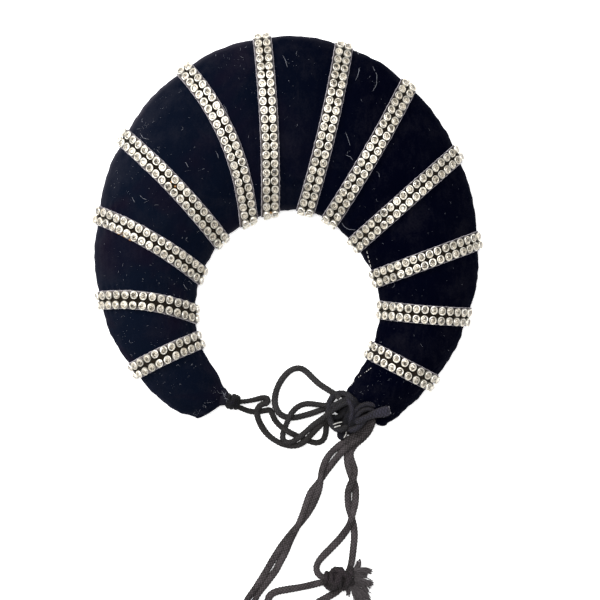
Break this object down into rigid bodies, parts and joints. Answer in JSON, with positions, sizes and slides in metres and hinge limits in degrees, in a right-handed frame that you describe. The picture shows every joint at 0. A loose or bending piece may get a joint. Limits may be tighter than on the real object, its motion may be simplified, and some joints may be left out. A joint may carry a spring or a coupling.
{
  "type": "hair ring",
  "caption": "Padded velvet hair ring, open at the bottom, crossed by bands of two-row faceted stone tape, with braided tie cords knotted in a bow and a frayed end",
  "frame": {"origin": "middle of the ring's outline with its bands, without cords and knots, on the floor it lies on", "axes": "+Z is the front with the stones, +Y is towards the top of the ring, +X is to the right seen from the front"},
  "size_m": [0.1646, 0.2556, 0.0212],
  "materials": {
    "velvet": "matte",
    "net_tape": "matte",
    "stone": "polished",
    "braided_cord": "matte"
  },
  "bodies": {
    "root": {"velvet_ring": "velvet", "band_tape_01": "net_tape", "band_tape_02": "net_tape", "band_tape_03": "net_tape", "band_tape_04": "net_tape", "band_tape_05": "net_tape", "band_tape_06": "net_tape", "band_tape_07": "net_tape", "band_tape_08": "net_tape", "band_tape_09": "net_tape", "band_tape_10": "net_tape", "band_tape_11": "net_tape", "band_tape_12": "net_tape", "band_stones_01": "stone", "band_stones_02": "stone", "band_stones_03": "stone", "band_stones_04": "stone", "band_stones_05": "stone", "band_stones_06": "stone", "band_stones_07": "stone", "band_stones_08": "stone", "band_stones_09": "stone", "band_stones_10": "stone", "band_stones_11": "stone", "band_stones_12": "stone", "tie_cord_upper": "braided_cord", "tie_cord_lower": "braided_cord", "bow_loop_large": "braided_cord", "bow_loop_small": "braided_cord", "tail_cord_1": "braided_cord", "tail_cord_2": "braided_cord", "tail_cord_3": "braided_cord", "tail_cord_4": "braided_cord", "left_knot": "braided_cord", "main_knot": "braided_cord", "end_knot": "braided_cord"}
  },
  "joints": []
}
